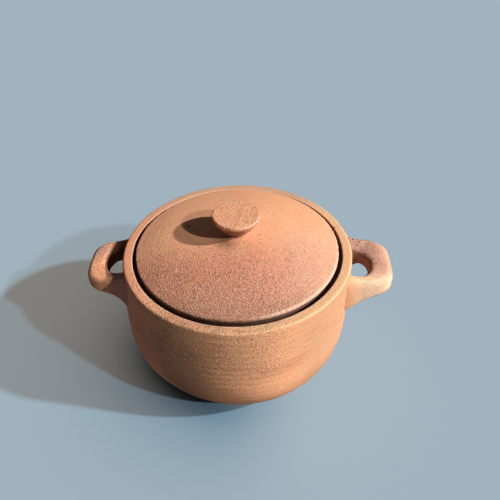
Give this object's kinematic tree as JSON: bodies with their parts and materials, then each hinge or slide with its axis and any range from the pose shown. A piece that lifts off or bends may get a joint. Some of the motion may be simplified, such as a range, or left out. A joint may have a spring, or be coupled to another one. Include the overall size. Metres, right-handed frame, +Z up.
{
  "type": "lidded casserole pot",
  "caption": "Round unglazed clay cooking pot with looped side handles and a loose domed lid that rests on a ledge inside the lip and lifts off by its knob.",
  "frame": {"origin": "middle of the flat base, on the table", "axes": "+X along the line of the handles towards the right handle, +Y towards the back, +Z up the pot's axis"},
  "size_m": [0.2691, 0.2, 0.1642],
  "materials": {
    "bowl_clay": "unglazed sandy orange stoneware, matt, with brown fire flashing",
    "handle_clay": "unglazed sandy orange stoneware, matt, with purple-grey flashing on top",
    "lid_clay": "unglazed sandy orange stoneware, matt, reddish with dark and light grains",
    "knob_clay": "unglazed sandy orange stoneware, matt, worn pale along its edge"
  },
  "bodies": {
    "pot": {"pot_bowl": "bowl_clay", "left_handle": "handle_clay", "right_handle": "handle_clay"},
    "lid": {"lid": "lid_clay", "lid_knob": "knob_clay"}
  },
  "joints": [
    {"name": "lid_lift", "type": "slide", "parent": "pot", "child": "lid", "axis": [0, 0, 1], "range_m": [0, 0.1]}
  ]
}
